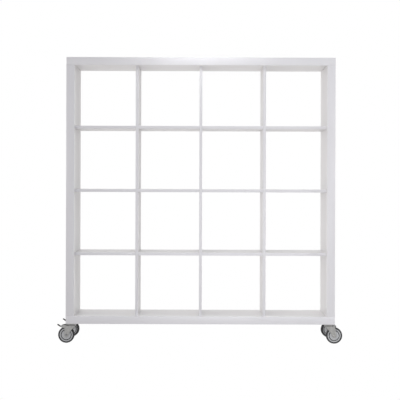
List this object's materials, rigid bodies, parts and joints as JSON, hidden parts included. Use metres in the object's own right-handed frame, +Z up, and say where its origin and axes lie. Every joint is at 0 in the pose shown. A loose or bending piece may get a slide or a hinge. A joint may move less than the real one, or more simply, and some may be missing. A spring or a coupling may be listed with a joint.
{
  "type": "partition wall",
  "caption": "Free-standing white shelving partition: a thick frame around an open grid of thin boards, on swivel castors with foot brakes at one end",
  "frame": {"origin": "on the floor, under the middle of the carcass", "axes": "+X to the right seen from the front, +Y to the back, +Z up; the front is the face at -Y"},
  "size_m": [1.584, 0.39, 1.5863],
  "materials": {
    "white_board": "satin",
    "zinc_steel": "satin",
    "grey_wheel_core": "satin",
    "dark_tyre": "matte",
    "dark_steel": "satin"
  },
  "bodies": {
    "carcass": {"top_board": "white_board", "bottom_board": "white_board", "left_side_panel": "white_board", "right_side_panel": "white_board", "upright_left": "white_board", "upright_middle": "white_board", "upright_right": "white_board", "shelf_row1_column1": "white_board", "shelf_row1_column2": "white_board", "shelf_row1_column3": "white_board", "shelf_row1_column4": "white_board", "shelf_row2_column1": "white_board", "shelf_row2_column2": "white_board", "shelf_row2_column3": "white_board", "shelf_row2_column4": "white_board", "shelf_row3_column1": "white_board", "shelf_row3_column2": "white_board", "shelf_row3_column3": "white_board", "shelf_row3_column4": "white_board", "corner_screw_top_left_front": "zinc_steel", "corner_screw_top_left_back": "zinc_steel", "corner_screw_top_right_front": "zinc_steel", "corner_screw_top_right_back": "zinc_steel", "corner_screw_bottom_left_front": "zinc_steel", "corner_screw_bottom_left_back": "zinc_steel", "corner_screw_bottom_right_front": "zinc_steel", "corner_screw_bottom_right_back": "zinc_steel", "front_left_castor_plate": "zinc_steel", "front_left_castor_kingpin": "zinc_steel", "rear_left_castor_plate": "zinc_steel", "rear_left_castor_kingpin": "zinc_steel", "front_right_castor_plate": "zinc_steel", "front_right_castor_kingpin": "zinc_steel", "rear_right_castor_plate": "zinc_steel", "rear_right_castor_kingpin": "zinc_steel"},
    "front_left_swivel": {"front_left_castor_fork": "zinc_steel", "front_left_castor_axle_bolt": "zinc_steel", "front_left_castor_axle_nut": "zinc_steel", "front_left_brake_pin": "zinc_steel"},
    "front_left_wheel": {"front_left_castor_wheel_core": "grey_wheel_core", "front_left_castor_tyre": "dark_tyre"},
    "front_left_brake": {"front_left_brake_pedal": "dark_steel"},
    "rear_left_swivel": {"rear_left_castor_fork": "zinc_steel", "rear_left_castor_axle_bolt": "zinc_steel", "rear_left_castor_axle_nut": "zinc_steel", "rear_left_brake_pin": "zinc_steel"},
    "rear_left_wheel": {"rear_left_castor_wheel_core": "grey_wheel_core", "rear_left_castor_tyre": "dark_tyre"},
    "rear_left_brake": {"rear_left_brake_pedal": "dark_steel"},
    "front_right_swivel": {"front_right_castor_fork": "zinc_steel", "front_right_castor_axle_bolt": "zinc_steel", "front_right_castor_axle_nut": "zinc_steel"},
    "front_right_wheel": {"front_right_castor_wheel_core": "grey_wheel_core", "front_right_castor_tyre": "dark_tyre"},
    "rear_right_swivel": {"rear_right_castor_fork": "zinc_steel", "rear_right_castor_axle_bolt": "zinc_steel", "rear_right_castor_axle_nut": "zinc_steel"},
    "rear_right_wheel": {"rear_right_castor_wheel_core": "grey_wheel_core", "rear_right_castor_tyre": "dark_tyre"}
  },
  "joints": [
    {"name": "front_left_castor_swivel", "type": "hinge", "parent": "carcass", "child": "front_left_swivel", "pos_m": [-0.715, -0.149, 0.1], "axis": [0, 0, 1], "continuous": true},
    {"name": "front_left_wheel_spin", "type": "hinge", "parent": "front_left_swivel", "child": "front_left_wheel", "pos_m": [-0.745, -0.149, 0.045], "axis": [0, 1, 0], "continuous": true},
    {"name": "front_left_brake_press", "type": "hinge", "parent": "front_left_swivel", "child": "front_left_brake", "pos_m": [-0.767, -0.149, 0.091], "axis": [0, -1, 0], "range_deg": [0, 28]},
    {"name": "rear_left_castor_swivel", "type": "hinge", "parent": "carcass", "child": "rear_left_swivel", "pos_m": [-0.715, 0.149, 0.1], "axis": [0, 0, 1], "continuous": true},
    {"name": "rear_left_wheel_spin", "type": "hinge", "parent": "rear_left_swivel", "child": "rear_left_wheel", "pos_m": [-0.745, 0.149, 0.045], "axis": [0, 1, 0], "continuous": true},
    {"name": "rear_left_brake_press", "type": "hinge", "parent": "rear_left_swivel", "child": "rear_left_brake", "pos_m": [-0.767, 0.149, 0.091], "axis": [0, -1, 0], "range_deg": [0, 28]},
    {"name": "front_right_castor_swivel", "type": "hinge", "parent": "carcass", "child": "front_right_swivel", "pos_m": [0.715, -0.149, 0.1], "axis": [0, 0, 1], "continuous": true},
    {"name": "front_right_wheel_spin", "type": "hinge", "parent": "front_right_swivel", "child": "front_right_wheel", "pos_m": [0.745, -0.149, 0.045], "axis": [0, 1, 0], "continuous": true},
    {"name": "rear_right_castor_swivel", "type": "hinge", "parent": "carcass", "child": "rear_right_swivel", "pos_m": [0.715, 0.149, 0.1], "axis": [0, 0, 1], "continuous": true},
    {"name": "rear_right_wheel_spin", "type": "hinge", "parent": "rear_right_swivel", "child": "rear_right_wheel", "pos_m": [0.745, 0.149, 0.045], "axis": [0, 1, 0], "continuous": true}
  ]
}
